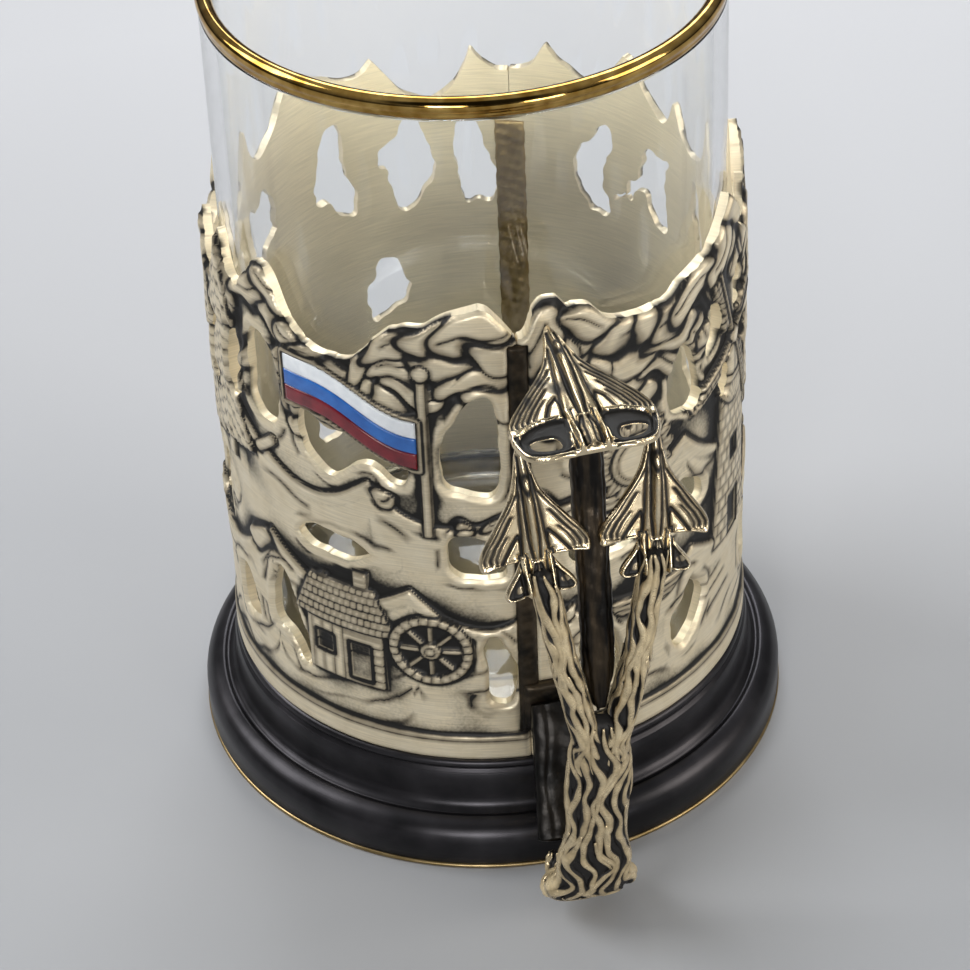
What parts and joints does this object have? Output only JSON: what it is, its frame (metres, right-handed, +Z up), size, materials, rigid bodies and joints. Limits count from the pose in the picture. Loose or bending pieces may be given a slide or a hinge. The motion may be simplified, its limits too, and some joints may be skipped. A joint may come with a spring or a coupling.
{
  "type": "tea glass holder",
  "caption": "Openwork cast-bronze tea glass holder with a relief sleeve, blackened round base and an ear handle of small aircraft on smoke trails, with its gilt-rimmed tea glass.",
  "frame": {"origin": "centre of the underside of the bottom plate, on the table, on the glass axis", "axes": "+Z up along the glass axis, +X from the glass axis towards the handle, +Y to the right side seen from the handle"},
  "size_m": [0.1025, 0.0828, 0.1155],
  "materials": {
    "clear_glass": "clear",
    "gilding": "bright gold lustre",
    "relief_bronze": "brushed high points over black patina",
    "plain_bronze": "satin",
    "dark_bronze": "black patina",
    "cast_bronze": "matte, patina in the grooves",
    "polished_bronze": "polished high points, patina in the recesses",
    "black_brass": "satin gunmetal black",
    "plate_brass": "plain turned",
    "white_enamel": "gloss",
    "blue_enamel": "gloss",
    "red_enamel": "gloss"
  },
  "bodies": {
    "holder": {"base_ring": "black_brass", "seat_disc": "plain_bronze", "bottom_plate": "plate_brass", "sleeve_left": "relief_bronze", "sleeve_right": "relief_bronze", "rear_seam_strip": "plain_bronze", "front_seam_bar": "dark_bronze", "enamel_white": "white_enamel", "enamel_blue": "blue_enamel", "enamel_red": "red_enamel", "handle_spine": "dark_bronze", "lower_arm": "dark_bronze", "smoke_column": "cast_bronze", "lead_aircraft": "polished_bronze", "left_aircraft": "polished_bronze", "right_aircraft": "polished_bronze"},
    "glass": {"glass_tumbler": "clear_glass", "rim_gilding": "gilding"}
  },
  "joints": [
    {"name": "glass_lift", "type": "slide", "parent": "holder", "child": "glass", "axis": [0, 0, 1], "range_m": [0, 0.09]}
  ]
}
